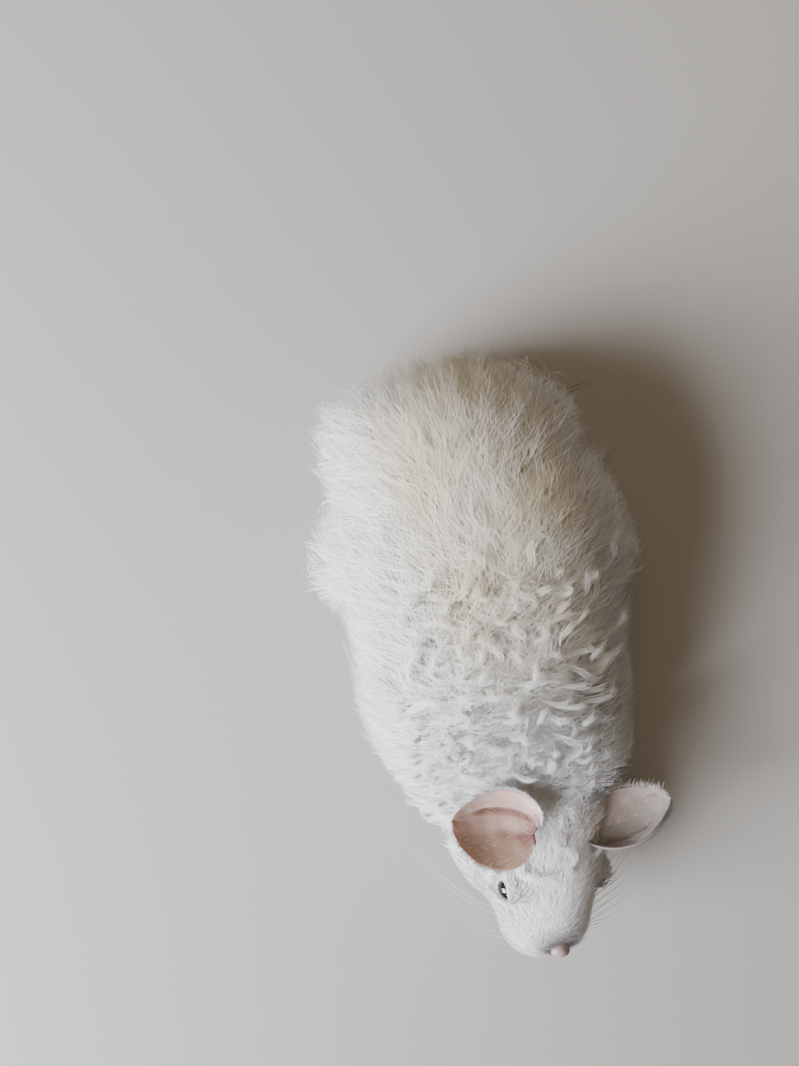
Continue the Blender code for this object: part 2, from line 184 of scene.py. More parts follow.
copies = []
for name in FLESH:
    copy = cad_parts[name].copy()
    copy.data = copy.data.copy()
    copy.parent = None
    bpy.context.scene.collection.objects.link(copy)
    copies.append(copy)
select_only(*copies)
bpy.ops.object.join()
skin = bpy.context.view_layer.objects.active
skin.name = "skin"
edit_all(skin, bpy.ops.mesh.remove_doubles, threshold=WELD)
swell = skin.modifiers.new("close_cuts", "DISPLACE")
swell.strength = CLOSE_CUTS
swell.mid_level = 0
bpy.ops.object.modifier_apply(modifier=swell.name)
skin.data.remesh_voxel_size = SKIN_CELL
bpy.ops.object.voxel_remesh()

EASE_SOLIDS, EASE_COAT, EASE_WAYS, EASE_SKIN = 6, 30, 60, 12  # rounds of smoothing
outer, _, edges = mesh_arrays(skin)
label = np.array([owners[solids.find_nearest(Vector(p) * MM)[2]] for p in outer])
fields = np.array([COAT[name] for name in FLESH])[label]


def belongs(*names):
    """Which points of the skin come from these solids."""
    return np.isin(label, [FLESH.index(name) for name in names])


is_foot, of_face = belongs("tail", *FOOT), belongs("head", "jaw")
outer = outer + np.where(is_foot, 0.25, 1.0)[:, None] * (even_out(outer, edges, EASE_SOLIDS) - outer)
set_points(skin, outer)
_, normals, _ = mesh_arrays(skin)
own = (outer - np.array(HEAD_BACK)) @ head_axes().T  # left, back, crown in the head
ahead = -own[:, 1]
# The coat is thinner under the belly, and on the muzzle it is shallower, shorter, finer and denser.
trunk = belongs("rump", "loin", "chest", "neck")
under = ramp(outer[:, 2], 3.0, 13.0)
muzzle = ramp(ahead, 18, 27) * of_face
fields[:, 0] *= np.where(trunk, 0.3 + 0.7 * under, 1.0) * (1 - 0.3 * muzzle)
fields[:, 1] *= np.where(trunk, 0.6 + 0.4 * under, 1.0) * (1 - 0.38 * muzzle)
fields[:, 2] *= 1 - 0.35 * muzzle
fields[:, 3] *= 1 + 0.8 * muzzle
fields = even_out(fields, edges, EASE_COAT)
depth = fields[:, 0]
broad = unit(even_out(normals, edges, EASE_WAYS))
mixed = unit(normals + (broad - normals) * np.clip(depth / 3, 0, 1)[:, None])
under_skin = outer - mixed * (depth + CLOSE_CUTS / MM)[:, None]
eased = even_out(under_skin, edges, EASE_SKIN)
under_skin = under_skin + np.clip(depth / 5, 0, 1)[:, None] * (eased - under_skin)

# The mouth: a fine crease round the front of the muzzle, split under the nose.
MOUTH_DROP, MOUTH_BACK, MOUTH_SLOPE = 3.6, 21.0, math.tan(math.radians(9))
MOUTH_WIDTH, SPLIT_WIDTH, SPLIT_TOP, MOUTH_DEPTH = 0.55, 0.45, 2.6, 0.75
line = own[:, 2] + MOUTH_DROP + MOUTH_SLOPE * (HEAD_LENGTH - ahead)
crease = np.exp(-(line / MOUTH_WIDTH) ** 2) * ramp(ahead, MOUTH_BACK, MOUTH_BACK + 3) * of_face
split = np.exp(-(own[:, 0] / SPLIT_WIDTH) ** 2) * ramp(ahead, 27, 29) * of_face
crease = np.maximum(crease, 0.8 * split * (line > 0) * (own[:, 2] < SPLIT_TOP))
under_skin -= normals * (MOUTH_DEPTH * crease)[:, None]

# Round each eye the skin is drawn up to the ball as the lids, and inside their opening it lies behind it.
EYE_RADIUS, LID_FIELD, LIDS_END = 2.9, 4.5, 2.2
LID_THICKNESS, LID_RISE, BEHIND_EYE = 0.32, 0.75, 0.8
LID_SLOPE = math.radians(56)  # where the skin leaves the ball and runs out to the face
OPEN_LONG, OPEN_UPPER, OPEN_LOWER = math.radians(44), math.radians(24), math.radians(34)
FILL_ROUNDS, EYE_HOLLOW, NOSE_HOLLOW = 60, 2.6, 4.2
gazes = []
for side, name in ((-1, "eye_right"), (1, "eye_left")):
    low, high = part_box(name)
    origin = in_head(0, 0, 0)
    gaze = (in_head(2.2, side * 8.6, 3.4) - origin).normalized()
    forward = in_head(1, 0, -0.12) - origin
    long_way = (forward - gaze * forward.dot(gaze)).normalized()
    short_way = gaze.cross(long_way) * -side
    gazes.append([np.array(v) for v in ((low + high) / 2 / MM, gaze, long_way, short_way)])


def past_opening(points, eye):
    """How far out of an eye's opening places lie (1 is its edge), their distance and their direction."""
    centre, gaze, long_way, short_way = eye
    far = np.linalg.norm(points - centre, axis=-1)
    ray = (points - centre) / np.maximum(far, 1e-6)[..., None]
    rise = ray @ short_way
    half = np.where(rise > 0, math.sin(OPEN_UPPER), math.sin(OPEN_LOWER))
    share = np.hypot(ray @ long_way / math.sin(OPEN_LONG), rise / half)
    return np.where(ray @ gaze > 0, share, 9.0), far, ray


def filled(points, centre, radius):
    """The hollow that the solids leave round a place, spanned by an even skin."""
    near = np.linalg.norm(points - centre, axis=1) < radius
    around = edges[near[edges].any(1)]
    for _ in range(FILL_ROUNDS):
        points = np.where(near[:, None], even_out(points, around, 1, 0.9), points)
    return points


for eye in gazes:
    centre, gaze, _, _ = eye
    under_skin = filled(under_skin, centre, EYE_RADIUS + EYE_HOLLOW)
    over_ball = EYE_RADIUS + LID_THICKNESS
    rise = (under_skin - centre) @ gaze
    beside = np.linalg.norm(under_skin - centre - rise[:, None] * gaze, axis=1)
    knee = over_ball * math.sin(LID_SLOPE)
    dome = np.where(beside < knee, np.sqrt(np.maximum(over_ball**2 - beside**2, 0)),
                    over_ball * math.cos(LID_SLOPE) - (beside - knee) * math.tan(LID_SLOPE))
    lifted = np.maximum(dome - rise, 0) * ((rise > -over_ball) & (beside < over_ball + 2))
    under_skin = under_skin + lifted[:, None] * gaze
    share, far, ray = past_opening(under_skin, eye)
    near = (far < EYE_RADIUS + LID_FIELD) & (ray @ gaze > 0)
    lid = np.minimum(far, over_ball + LID_RISE * np.maximum(share - 1, 0))
    wanted = np.where(share < LIDS_END, lid, far)
    wanted = np.where(share < 1.0, EYE_RADIUS - BEHIND_EYE, wanted)
    under_skin = np.where(near[:, None], centre + ray * wanted[:, None], under_skin)
low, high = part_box("nose")
nose_centre = np.array((low + high) / 2 / MM)
under_skin = filled(under_skin, nose_centre, NOSE_HOLLOW)
set_points(skin, under_skin)
skin_points, skin_normals, edges = mesh_arrays(skin)
outer_tree = BVHTree.FromPolygons([Vector(p) for p in outer - normals * CLOSE_CUTS / MM],
                                  [tuple(p.vertices) for p in skin.data.polygons])
skin.data.shade_smooth()

# -------------------- ears
# Two thin ears of bare, finely haired skin, each a cupped petal on a folded root. They are joined
# to the skin, and their roots stand in it. Blood gives them their pink; the darker pink in the folds
# and at the root is partly painted shade in these hollows.
EAR_LENGTH, EAR_WIDTH, EAR_WALL = 19.0, 17.6, 0.8
EAR_ROOT, EAR_CURL_ROOT, EAR_CURL_RIM, EAR_DISH = 2.2, 0.9, 0.51, 1.6
EAR_ROWS, EAR_COLUMNS = 44, 36
FOLD_DEPTH, FOLD_LIP, SECOND_DEPTH = 0.9, 0.55, 0.4
EAR_DARK_FROM, EAR_DARK_OVER = 0.5, 5.0  # mm out from the middle of the ear, towards the cheek
EAR_DARK_WAY = np.array((-0.62, -0.78, 0))
# How far the whole left ear is painted grey-brown, as the shade it lies in.
LEFT_EAR_PAINTED_SHADE = 0.85
# name, root ahead / side / rise in the head, bearing of the tip from ahead, lift of the tip, twist
EARS = (("ear_right", 0.3, -8.7, 12.8, 126, 19, 4), ("ear_left", 4.4, 4.9, 11.2, -112, 20, -82))


def made_from(name, points, faces):
    """A new piece from points in mm and faces."""
    mesh = bpy.data.meshes.new(name)
    mesh.from_pydata(points * MM, [], faces)
    made = bpy.data.objects.new(name, mesh)
    bpy.context.scene.collection.objects.link(made)
    return made


def store(piece, **values):
    """Values for each point of a piece, by name, for its material to read."""
    for key, value in values.items():
        piece.data.attributes.new(key, "FLOAT", "POINT").data.foreach_set("value", value)


def ear_mesh(name, ahead, side, rise, bearing, lift, twist):
    turned, lifted = math.radians(bearing), math.radians(lift)
    tip = Vector((-math.sin(turned), -math.cos(turned), 0)) * math.cos(lifted)
    tip.z = math.sin(lifted)
    across = tip.cross(Vector((0, 0, 1))).normalized()
    spin = Matrix.Rotation(math.radians(twist), 3, tip)
    across, up = spin @ across, spin @ across.cross(tip)
    root = in_head(ahead, side, rise)
    share = np.linspace(0.0, 0.995, EAR_ROWS + 1)[:, None]
    over = np.linspace(-1, 1, EAR_COLUMNS + 1)[None, :]
    breadth = EAR_WIDTH / 2 * np.sin(math.pi * share**0.72) ** 0.62
    breadth = np.maximum(breadth, EAR_ROOT * (1 - share) ** 0.5)
    curl = EAR_CURL_RIM + EAR_CURL_ROOT * (1 - share) ** 2
    bow = breadth / curl
    y = bow * np.sin(over * curl)
    z = bow * (1 - np.cos(over * curl)) - EAR_DISH * np.sin(math.pi * share)
    # One fold runs from the root towards the front edge, and the rim rolls over a little.
    fold_line = 0.42 - 0.25 * share
    fold = np.exp(-((over - fold_line) / 0.1) ** 2) * ramp(share, 0.02, 0.12) * (1 - ramp(share, 0.55, 0.8))
    lip = np.exp(-((over - fold_line - 0.16) / 0.1) ** 2) * (1 - ramp(share, 0.5, 0.8))
    second = np.exp(-((over + 0.28 - 0.2 * share) / 0.14) ** 2) * (1 - ramp(share, 0.25, 0.5))
    waves = (0.16 * np.sin(7 * share + 3 * over) * np.sin(5 * over + 1)
             + 0.07 * np.sin(19 * share + 6 * over) * np.sin(13 * over - 9 * share))
    z = z - FOLD_DEPTH * fold + FOLD_LIP * lip - SECOND_DEPTH * second + waves
    edge = np.maximum(np.abs(over) * np.ones_like(share), share * np.ones_like(over))
    wall = EAR_WALL * (1 - 0.55 * ramp(edge, 0.75, 1.0))
    out = (np.array(root) + np.array(tip) * (EAR_LENGTH * share)[..., None]
           + np.array(across) * y[..., None] + np.array(up) * z[..., None])
    sheets = np.concatenate([out.reshape(-1, 3), (out - np.array(up) * wall[..., None]).reshape(-1, 3)])
    rows, columns = EAR_ROWS + 1, EAR_COLUMNS + 1
    index = np.arange(rows * columns).reshape(rows, columns)
    inner = np.stack([index[:-1, :-1], index[1:, :-1], index[1:, 1:], index[:-1, 1:]], -1).reshape(-1, 4)
    outside = inner[:, ::-1] + rows * columns
    rim = np.concatenate([index[0, :-1], index[:-1, -1], index[-1, :0:-1], index[:0:-1, 0]])
    after = np.roll(rim, -1)
    band = np.stack([rim, after, after + rows * columns, rim + rows * columns], -1)
    ear = made_from(name, sheets, np.concatenate([inner, outside, band]).tolist())
    # Colour: blush in the folds and at the root, partly painted shade in these hollows, a darker
    # margin, and painted shade over the whole left ear, which turns it grey-brown.
    mottle = 0.12 + 0.12 * np.sin(5 * share + 4 * over) * np.sin(7 * over - 6 * share + 2)
    at_root = 0.9 * (1 - ramp(share, 0.02, 0.2)) * np.ones_like(over)
    blush = np.clip(mottle + fold + 0.7 * second + at_root, 0, 1)
    dark_side = ramp((out - out.mean((0, 1))) @ EAR_DARK_WAY, EAR_DARK_FROM, EAR_DARK_FROM + EAR_DARK_OVER)
    margin = np.tile(np.maximum(0.4 * ramp(edge, 0.8, 1.0), 0.75 * dark_side).ravel(), 2)
    blush = np.append(blush, np.full(rows * columns, 0.15))
    dusky = np.full(len(sheets), LEFT_EAR_PAINTED_SHADE if side > 0 else 0.0)
    store(ear, bare=np.ones(len(sheets)), blush=blush, margin=margin, dusky=dusky)
    ear.data.shade_smooth()
    edit_all(ear, bpy.ops.mesh.normals_make_consistent, inside=False)
    return ear, out, np.array(up), np.array(tip)


ears = [ear_mesh(*row) for row in EARS]

# Bare skin shows on the feet, the tail and the ears. The rest is pale under its coat.
bare = even_out(is_foot.astype(float), edges, 3)
# In the mouth crease the blush is painted shade; on the feet it is their own pink.
store(skin, bare=bare, blush=0.6 * crease + 0.3 * bare, margin=0 * bare, dusky=0 * bare)
skin.data.materials.clear()
select_only(skin, *[ear[0] for ear in ears])
bpy.ops.object.join()

NOSE_SHADE_INNER, NOSE_SHADE_OUTER = 1.2 * MM, 7.6 * MM


def nose_patch_and_shade(add, place):
    """How far a place lies in the smoky patch round the nose pad, where the fur is thinnest; its grey is
    partly painted shade.
    """
    left, back, crown = head_axes()
    middle = (nose_centre + back * 1.8 + crown * 1.2 - left * 0.7) * MM
    away = add("VectorMath", {0: place, 1: middle}, operation="DISTANCE")
    sockets = {"Value": away.outputs["Value"], "From Min": NOSE_SHADE_INNER, "From Max": NOSE_SHADE_OUTER,
               "To Min": 1.0, "To Max": 0.0}
    return add("MapRange", sockets, interpolation_type="SMOOTHSTEP").outputs["Result"]


# Living skin: pale where hair covers it, and pink where it is bare, with fine pores and veins.
PORES, VEINS = 0.35 * MM, 5 * MM  # how far they are apart
skin_finish, add, shader, place = principled("bare_and_haired_skin", Roughness=0.55, IOR=1.4,
                                             Sheen_Weight=0.35, Sheen_Roughness=0.5,
                                             Subsurface_Weight=0.15, Subsurface_Scale=0.8 * MM)
veins = add("TexNoise", {"Vector": place, "Scale": 1 / VEINS, "Detail": 4.0, "Roughness": 0.6})
pores = add("TexNoise", {"Vector": place, "Scale": 1 / PORES, "Detail": 3.0})
is_bare, blush, margin, dusky = (add("Attribute", {}, attribute_name=key).outputs["Fac"]
                                 for key in ("bare", "blush", "margin", "dusky"))
# The blush in the ear folds, at the ear roots and in the mouth crease is partly painted shade in these
# hollows.
bare_tone = linear("#F3CFBF")
reddened = veins.outputs["Fac"]
# The grey-brown mixed over the left ear is painted shade.
for share, colour in ((reddened, "#E2B8A6"), (blush, "#A4766C"), (margin, "#B0967E"), (dusky, "#6E635A")):
    bare_tone = add("Mix", {"Factor": share, 6: bare_tone, 7: linear(colour)}, data_type="RGBA").outputs[2]
tone = linear("#EEE8E1")
# The grey patch round the nose is partly thin fur and partly painted shade.
for share, colour in ((is_bare, bare_tone), (nose_patch_and_shade(add, place), linear("#897D79"))):
    tone = add("Mix", {"Factor": share, 6: tone, 7: colour}, data_type="RGBA").outputs[2]
grain = add("Bump", {"Height": pores.outputs["Fac"], "Strength": 0.35, "Distance": 0.06 * MM})
plug(shader, {"Base Color": tone, "Normal": grain.outputs["Normal"]})
skin.data.materials.append(skin_finish)
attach(skin, "root")
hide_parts(*FLESH, "ear_left", "ear_right")

# -------------------- eyes
# Round, very dark, wet eyes with a slightly raised cornea, held by two lids that leave an almond
# opening. The lids are thin bare skin with a darker rim.
LID_RINGS = ((60, -0.3, 0), (40, 0.05, 0), (25, 0.28, 0), (13, 0.42, 0), (7, 0.46, 0.1), (3, 0.4, 0.7),
             (0, 0.2, 1), (1, -0.12, 1), (14, -0.35, 0), (40, -0.9, 0))
LID_POINTS, CORNEA_RISE = 56, 0.22


def mottled(name, distance, first, second, **sockets):
    """A material whose tone drifts between two colours, within a distance."""
    made, add, shader, place = principled(name, **sockets)
    drift = add("TexNoise", {"Vector": place, "Scale": 1 / distance, "Detail": 2.0}).outputs["Fac"]
    tone = add("Mix", {"Factor": drift, 6: linear(first), 7: linear(second)}, data_type="RGBA")
    plug(shader, {"Base Color": tone.outputs[2]})
    return made


# A wet cornea over a nearly black iris: a sharp highlight and hardly any colour.
eye_finish = mottled("wet_dark_eye", 1.5 * MM, "#0B0606", "#1E1110", Roughness=0.04, IOR=1.38,
                     Coat_Weight=1.0, Coat_Roughness=0.02)

# Lid skin: pale and soft, brown at its bare rim, with creases under half a millimetre apart.
lid_finish, add, shader, place = principled("eyelid_skin", Roughness=0.5, IOR=1.4, Sheen_Weight=0.2)
rim = add("Attribute", {}, attribute_name="rim").outputs["Fac"]
tone = add("Mix", {"Factor": rim, 6: linear("#E2CFC6"), 7: linear("#7A5650")}, data_type="RGBA")
creases = add("TexNoise", {"Vector": place, "Scale": 1 / (0.4 * MM), "Detail": 3.0}).outputs["Fac"]
grain = add("Bump", {"Height": creases, "Strength": 0.3, "Distance": 0.08 * MM})
plug(shader, {"Base Color": tone.outputs[2], "Normal": grain.outputs["Normal"]})


def new_primitive(name, operator, **options):
    """A new primitive, with nothing else selected."""
    bpy.ops.object.select_all(action="DESELECT")
    operator(**options)
    made = bpy.context.view_layer.objects.active
    made.name = name
    return made


def round_opening(eye, angles, past):
    """Ways out from the middle of an eye, at angles round its opening and an angle past its edge."""
    _, gaze, long_way, short_way = eye
    half = np.where(np.sin(angles) > 0, OPEN_UPPER, OPEN_LOWER)
    opening = 1 / np.sqrt((np.cos(angles) / OPEN_LONG) ** 2 + (np.sin(angles) / half) ** 2)
    tilt = (opening + past)[:, None]
    round_it = np.cos(angles)[:, None] * long_way + np.sin(angles)[:, None] * short_way
    return np.cos(tilt) * gaze + np.sin(tilt) * round_it


for eye, name in zip(gazes, ("eye_right", "eye_left")):
    centre, gaze, _, _ = eye
    ball = new_primitive(f"eyeball_{name[4:]}", bpy.ops.mesh.primitive_uv_sphere_add, segments=48,
                         ring_count=32, radius=EYE_RADIUS * MM, location=Vector(centre) * MM)
    bpy.ops.object.transform_apply(location=True, rotation=True, scale=True)
    points, _, _ = mesh_arrays(ball)
    ray = unit(points - centre)
    cornea = ramp(ray @ gaze, 0.72, 1.0)
    set_points(ball, points + ray * (CORNEA_RISE * cornea)[:, None])
    ball.data.shade_smooth()
    ball.data.materials.append(eye_finish)
    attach(ball, "root")
    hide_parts(name)

    # Each ring of the lids has its degrees past the opening's edge, height over the ball and rim shade.
    angles = np.arange(LID_POINTS) * math.tau / LID_POINTS
    points = np.concatenate([centre + round_opening(eye, angles, math.radians(past)) * (EYE_RADIUS + height)
                             for past, height, _ in LID_RINGS])
    index = np.arange(len(points)).reshape(-1, LID_POINTS)
    beside = np.roll(index, -1, 1)
    faces = np.stack([index, beside, np.roll(beside, -1, 0), np.roll(index, -1, 0)], -1).reshape(-1, 4)
    lids = made_from(f"eyelids_{name[4:]}", points, faces.tolist())
    store(lids, rim=np.repeat([shade for _, _, shade in LID_RINGS], LID_POINTS))
    edit_all(lids, bpy.ops.mesh.normals_make_consistent, inside=False)
    lids.data.shade_smooth()
    lids.data.materials.append(lid_finish)
    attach(lids, "root")

# -------------------- nose
# The small bare nose pad of greyish-pink leathery skin, with two comma-shaped nostrils and a
# groove down its middle that runs on into the split lip.
NOSE_HALF = np.array((2.15, 1.4, 1.9))  # half its width, depth and height
GROOVE_DEPTH, NOSTRIL_DEPTH = 0.16, 0.42
nose = new_primitive("nose_pad", bpy.ops.mesh.primitive_uv_sphere_add, segments=64, ring_count=48,
                     radius=MM)
points, _, _ = mesh_arrays(nose)
_, back, crown = head_axes()
groove = np.exp(-(points[:, 0] / 0.10) ** 2) * (points[:, 1] < 0) * ramp(-points[:, 2], -0.55, 0.2)
nostril = sum(np.exp(-((points[:, 0] - s * (0.48 + 0.25 * points[:, 2])) / 0.17) ** 2
                     - ((points[:, 2] + 0.08) / 0.30) ** 2) for s in (-1, 1)) * (points[:, 1] < 0)
points = points * (1 - GROOVE_DEPTH * groove - NOSTRIL_DEPTH * np.clip(nostril, 0, 1))[:, None]
points[:, 1] *= np.where(points[:, 1] < 0, 1.0, 1.3)
nose_at = nose_centre + back * 0.75 + crown * 0.75
set_points(nose, nose_at + points * NOSE_HALF @ head_axes())
store(nose, pit=np.clip(nostril + 0.4 * groove, 0, 1))
nose.data.shade_smooth()

# Nose leather: cells a fifth of a millimetre across, with a faint damp shine; the dark nostrils and the
# darker groove are painted shade in these hollows.
nose_finish, add, shader, place = principled("nose_leather", Roughness=0.42, IOR=1.4, Coat_Weight=0.15,
                                             Coat_Roughness=0.3)
cells = add("TexVoronoi", {"Vector": place, "Scale": 1 / (0.22 * MM)}).outputs["Distance"]
pits = add("Attribute", {}, attribute_name="pit").outputs["Fac"]
tone = linear("#96827D")
for share, colour in ((cells, "#AE9892"), (pits, "#4A2F2D")):
    tone = add("Mix", {"Factor": share, 6: tone, 7: linear(colour)}, data_type="RGBA").outputs[2]
grain = add("Bump", {"Height": cells, "Strength": 0.5, "Distance": 0.05 * MM})
plug(shader, {"Base Color": tone, "Normal": grain.outputs["Normal"]})
nose.data.materials.append(nose_finish)
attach(nose, "root")
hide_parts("nose")

# -------------------- claws
# Short, thin, slightly hooked claws of pale horn, one at the tip of each toe of the two hind and
# the two fore feet. They grow out of the last joint of the toe, so each root stands in its skin.

# heel, degrees a foot turns out, its length, width and height, its toes and their length
TOES = (((-20.4, 34.35), -8, 17.5, 6.4, 4.2, 5, 4.4), ((20.6, 21.85), 8, 17.5, 6.4, 4.2, 5, 4.4),
        ((-14.4, -22.95), -6, 9.5, 5.6, 3.4, 4, 3.6), ((12.6, -12.35), 6, 9.5, 5.6, 3.4, 4, 3.6))
CLAW_LENGTH, CLAW_RADIUS, CLAW_HOOK = 2.0, 0.42, 0.75
claw_parts = []
for heel, turned, length, width, height, toes, toe in TOES:
    heading = Matrix.Rotation(math.radians(turned), 3, "Z")
    for k in range(toes):
        share = k / (toes - 1) * 2 - 1
        reach = (length - toe) * 0.9 + toe * (1.2 - 0.3 * share * share) + 0.2
        start = Vector((*heel, 0)) + heading @ Vector((share * width * 0.62, -reach, height * 0.2 + 0.25))
        claw = new_primitive("claw", bpy.ops.mesh.primitive_cylinder_add, vertices=8,
                             radius=CLAW_RADIUS * MM, depth=CLAW_LENGTH * MM)
        edit_all(claw, bpy.ops.mesh.subdivide, number_cuts=3, quadcorner="INNERVERT")
        points, _, _ = mesh_arrays(claw)
        t = np.clip(points[:, 2] / CLAW_LENGTH + 0.5, 0, 1)
        slim = 1 - 0.92 * t**1.4
        drop = CLAW_HOOK * t**2
        shape = np.stack([points[:, 0] * slim, -CLAW_LENGTH * t, points[:, 1] * slim * 1.2 - drop], 1)
        set_points(claw, np.array(start) + shape @ np.array(heading).T)
        claw_parts.append(claw)
select_only(*claw_parts)
bpy.ops.object.join()
claws = bpy.context.view_layer.objects.active
claws.name = "claws"
bpy.ops.object.transform_apply(location=True, rotation=True, scale=True)
edit_all(claws, bpy.ops.mesh.normals_make_consistent, inside=False)
claws.data.shade_smooth()

# Claw horn: smooth and pale, with growth layers half a millimetre apart.
claw_finish = mottled("claw_horn", 0.5 * MM, "#E6D8CB", "#C9B3A2", Roughness=0.35, IOR=1.54)
claws.data.materials.append(claw_finish)
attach(claws, "root")

# -------------------- coat
# The long white coat: tens of thousands of fine tufts with their roots in the skin, in small
# clumps that follow the lie of the hair back along the body, out round the rump and down the sides.
rng = np.random.default_rng(11)
SINK = 0.35  # how deep a root stands in the skin
PATCH = 0.003  # the side of a tuft's patch on the unwrap
CLEAR_OF_FLOOR = 0.25
CLEAR_OF_SKIN = 1.5  # every hair may rise this far above its root
TUFTS_IN_PIECE = 12000


def lie_of_coat(points, normals, own):
    """Which way the hair lies at each place, along the skin."""
    x, y, z = points.T
    y = y + 2.95
    # Back along the body, out round the rump and down the sides.
    fan = ramp(y, 8, 60)
    flow = np.stack([fan * (x - 2) / 26, 1 - 0.35 * fan, -0.30 - 0.9 * ramp(y, 48, 64)], 1)
    flow[:, 2] -= 0.5 * ramp(np.abs(x), 18, 30)
    # On the head, back from the nose, away from the middle and round the eyes.
    left, back, _ = head_axes()
    on_head = 1 - ramp(y, -34, -24)
    side_way = np.sign(own[:, 0]) * 0.25 * ramp(np.abs(own[:, 0]), 1, 8)
    over_head = back[None] + left[None] * side_way[:, None] + np.array((0, 0, -0.15))
    flow = flow + on_head[:, None] * (over_head - flow)
    for eye in gazes:
        _, far, ray = past_opening(points, eye)
        flow = flow + ray * (1.3 * np.exp(-(np.maximum(far - EYE_RADIUS, 0) / 1.5) ** 2))[:, None]
    # On the feet, forwards to the toes.
    down = 1 - ramp(z, 3.5, 6.0)
    flow = flow + (down * (y > -30) * (np.abs(x) > 8))[:, None] * (np.array((0, -0.9, -0.1)) - flow) * 0.5
    return unit(flow - normals * (flow * normals).sum(1)[:, None])


quads = np.array([tuple(p.vertices) for p in skin.data.polygons if max(p.vertices) < len(skin_points)])
skin_faces = quads[:, [0, 1, 2, 0, 2, 3]].reshape(-1, 3)
edge_a, edge_b = (skin_points[skin_faces[:, k]] - skin_points[skin_faces[:, 0]] for k in (1, 2))
face_areas = np.linalg.norm(np.cross(edge_a, edge_b), axis=1) / 2


def sow(weight):
    """Places spread evenly over the skin, with weight (a value for each of its points) places to a mm2."""
    total = np.cumsum(face_areas * weight[skin_faces].mean(1))
    count = int(total[-1])
    picks = np.searchsorted(total, (np.arange(count) + rng.random(count)) / count * total[-1])
    picks = np.minimum(picks, len(total) - 1)
    a, b = rng.random(count), rng.random(count)
    flip = a + b > 1
    a[flip], b[flip] = 1 - a[flip], 1 - b[flip]
    parts = np.stack([1 - a - b, a, b], 1)[..., None]
    tris = skin_faces[picks]
    places = (skin_points[tris] * parts).sum(1)
    facing = unit((skin_normals[tris] * parts).sum(1))
    return places, facing, (fields[tris] * parts).sum(1), (own[tris] * parts).sum(1), label[tris[:, 0]]


def turned_by(lie, facing, angle):
    """The lie of the hair, turned about the way out."""
    return lie * np.cos(angle)[:, None] + np.cross(facing, lie) * np.sin(angle)[:, None]


def centre_lines(root, normal, lie, height, reach, sway, wave, turns, rings):
    """The middle line of each tuft: out of the skin, leaning over, then along the coat in soft waves."""
    s = np.linspace(0, 1, rings + 1)[None, :, None]
    side = np.cross(normal, lie)
    phase = (math.tau * rng.random(len(root)))[:, None, None]
    swing = np.sin(phase + math.tau * turns * s) - np.sin(phase)
    sunk = np.minimum(SINK, 0.3 * height)[:, None, None]
    return (root[:, None] - sunk * normal[:, None] * (1 - s)
            + normal[:, None] * height[:, None, None] * (1 - (1 - s) ** 1.7)
            + lie[:, None] * reach[:, None, None] * s**1.25
            + side[:, None] * (sway[:, None, None] * s**1.6 + wave[:, None, None] * swing * s**0.7))


def kept_in(lines, slack):
    """Lines pushed back to the coat's outer form where they leave it, and the way out at each point."""
    flat = lines.reshape(-1, 3)
    ways, over = np.empty_like(flat), np.empty(len(flat))
    for k, point in enumerate(flat):
        hit, ways[k], _, _ = outer_tree.find_nearest(Vector(point))
        over[k] = (Vector(point) - hit).dot(Vector(ways[k]))
    over = over.reshape(lines.shape[:2])
    room = np.maximum(slack, over[:, 0] + CLEAR_OF_SKIN)[:, None]
    lines = lines - ways.reshape(lines.shape) * np.maximum(over - room, 0)[..., None]
    lines[..., 2] = np.maximum(lines[..., 2], CLEAR_OF_FLOOR)
    return lines, ways.reshape(lines.shape)


# The middle of the body at five places from nose to rump, and the thickness of a tuft from root to tip.
AXIS_Y, AXIS_X, AXIS_Z = (-66, -30, 0, 40, 66), (-10, -2, -1, 2, -1), (11, 16, 19, 20, 14)
TAPER = np.array([0.7, 1.0, 0.9, 0.62, 0.35])


def unwrapped(places):
    """Where a root lies on an unwrap of the skin: round the body's own axis, and along it to both ends."""
    x, y, z = places.T
    off_x, off_z = x - np.interp(y, AXIS_Y, AXIS_X), z - np.interp(y, AXIS_Y, AXIS_Z)
    ends = np.clip(16 - np.hypot(off_x, off_z), 0, 16)
    along = y + ends * ramp(y, 35, 58) - ends * 0.6 * (1 - ramp(y, -66, -52))
    return np.stack([0.5 + np.arctan2(off_x, off_z) / math.tau * 0.94, 0.04 + (along + 78) / 162 * 0.92], 1)


